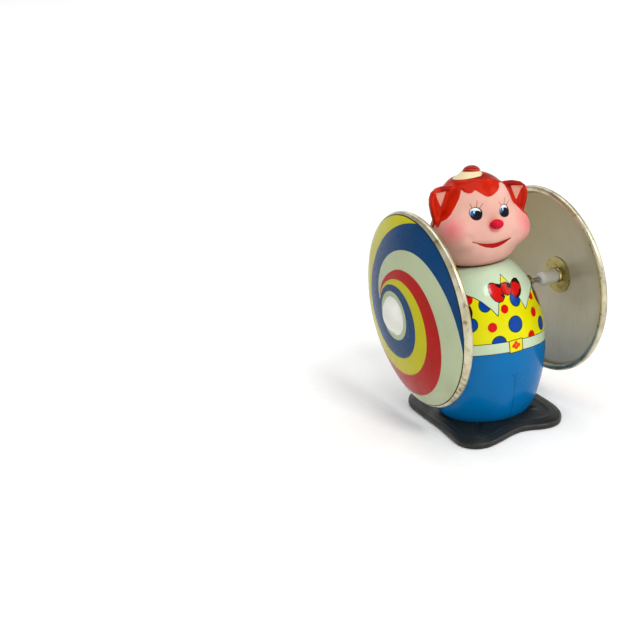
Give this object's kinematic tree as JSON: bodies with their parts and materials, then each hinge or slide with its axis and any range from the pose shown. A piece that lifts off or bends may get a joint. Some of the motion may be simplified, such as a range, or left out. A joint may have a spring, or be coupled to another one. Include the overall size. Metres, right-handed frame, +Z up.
{
  "type": "wind-up tin toy",
  "caption": "Clockwork tin figure on a moulded foot, with a soft animal head, a back key and two dished discs whirling on a cross axle.",
  "frame": {"origin": "on the floor, under the middle of the cross axle", "axes": "+Z up, +X along the cross axle towards the figure's left hand, -Y the way the figure faces, the key points to +Y"},
  "size_m": [0.0864, 0.079, 0.105],
  "materials": {
    "foot_plastic": "black moulded plastic, softly glossy",
    "plated_steel": "nickel plated",
    "printed_tin": "lithographed tinplate: blue below the belt, yellow vest, pale collar",
    "soft_vinyl": "soft moulded vinyl, sprayed and hand painted",
    "plate_steel": "stamped, bare",
    "brass": "dull brass",
    "spring_steel": "blued spring strip",
    "arbor_steel": "drawn steel rod",
    "gear_brass": "stamped brass",
    "disc_tin": "lithographed spiral on the outside, bare lacquered tin behind",
    "white_plastic": "glossy white",
    "bush_plastic": "off-white",
    "key_steel": "plated sheet steel"
  },
  "bodies": {
    "frame": {"base": "foot_plastic", "base_screws": "plated_steel", "base_nuts": "plated_steel", "body_front": "printed_tin", "body_back": "printed_tin", "head": "soft_vinyl", "front_plate": "plate_steel", "rear_plate": "plate_steel", "pillars": "plated_steel", "axle_brackets": "plate_steel", "crown_bridge": "plate_steel", "side_eyelets": "brass", "mainspring": "spring_steel"},
    "whirl": {"cross_axle": "arbor_steel", "axle_collars": "gear_brass", "axle_pinion": "gear_brass", "disc_left": "disc_tin", "disc_right": "disc_tin", "hub_cap_left": "white_plastic", "hub_cap_right": "white_plastic", "hub_washers": "brass", "hub_eyelets": "brass", "hub_bush_left": "bush_plastic", "hub_bush_right": "bush_plastic"},
    "crown": {"crown_arbor": "arbor_steel", "crown_wheel": "gear_brass"},
    "second": {"second_arbor": "arbor_steel", "second_wheel": "gear_brass"},
    "great": {"great_wheel": "gear_brass", "click_spring": "spring_steel"},
    "winder": {"winding_arbor": "arbor_steel", "ratchet_wheel": "gear_brass", "key_boss": "plated_steel", "key_wings": "key_steel"}
  },
  "joints": [
    {"name": "axle_spin", "type": "hinge", "parent": "frame", "child": "whirl", "pos_m": [0, 0, 0.0523], "axis": [1, 0, 0], "continuous": true},
    {"name": "crown_spin", "type": "hinge", "parent": "frame", "child": "crown", "pos_m": [0, 0.004, 0.0523], "axis": [0, 1, 0], "continuous": true},
    {"name": "second_spin", "type": "hinge", "parent": "frame", "child": "second", "pos_m": [0.00506, 0.004, 0.04197], "axis": [0, 1, 0], "continuous": true},
    {"name": "great_spin", "type": "hinge", "parent": "frame", "child": "great", "pos_m": [0, 0.0036, 0.03], "axis": [0, 1, 0], "continuous": true},
    {"name": "key_wind", "type": "hinge", "parent": "great", "child": "winder", "pos_m": [0, 0.02, 0.03], "axis": [0, -1, 0], "range_deg": [0, 1800], "deforming": ["click_spring"]}
  ],
  "couplings": [
    {"joint": "crown_spin", "follows": "axle_spin", "ratio": -0.33333},
    {"joint": "second_spin", "follows": "axle_spin", "ratio": 0.092593},
    {"joint": "great_spin", "follows": "axle_spin", "ratio": -0.022046}
  ]
}
